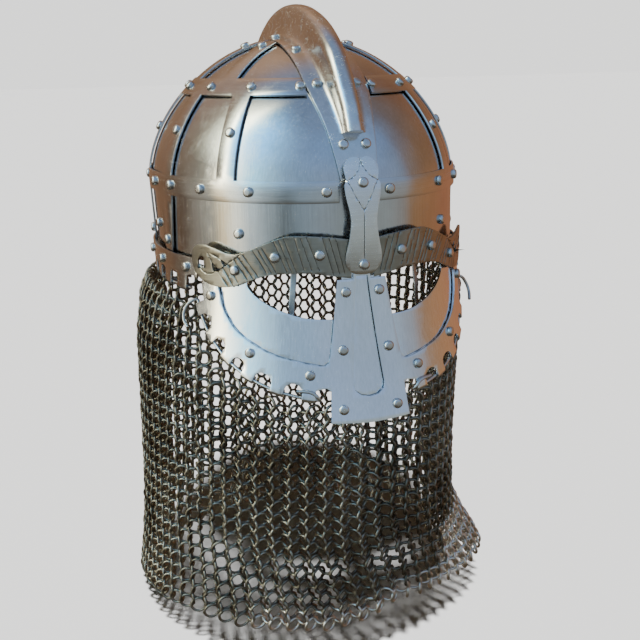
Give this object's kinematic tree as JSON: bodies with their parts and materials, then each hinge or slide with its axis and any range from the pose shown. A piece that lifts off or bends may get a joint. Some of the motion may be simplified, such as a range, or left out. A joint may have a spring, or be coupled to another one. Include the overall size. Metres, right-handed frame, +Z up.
{
  "type": "helmet",
  "caption": "Viking-age spectacle helmet: a raised steel bowl under riveted openwork bands and a crest, with a mask over the eyes and nose and a curtain of mail.",
  "frame": {"origin": "inside of the bowl's crown, where the helmet rests on a head", "axes": "+Z up out of the crown, -Y the way the wearer faces, +X the wearer's left"},
  "size_m": [0.2559, 0.292, 0.4334],
  "materials": {
    "bowl_steel": "satin",
    "openwork_steel": "satin",
    "crest_steel": "satin, brighter on the ridge",
    "brow_steel": "satin, toned darker and a little yellow",
    "mask_steel": "satin",
    "wire_steel": "drawn wire",
    "mail_steel": "oiled wire rings"
  },
  "bodies": {
    "root": {"skull_bowl": "bowl_steel", "frame_left": "openwork_steel", "frame_right": "openwork_steel", "comb_crest": "crest_steel", "rim_band": "openwork_steel", "rim_wire": "wire_steel", "nasal_strip": "brow_steel", "brow_left": "brow_steel", "brow_right": "brow_steel", "mask_plate": "mask_steel", "mask_frame": "mask_steel", "mask_wire_left": "wire_steel", "mask_wire_right": "wire_steel", "eye_bar_left": "bowl_steel", "eye_bar_right": "bowl_steel", "mail_aventail": "mail_steel"}
  },
  "joints": []
}
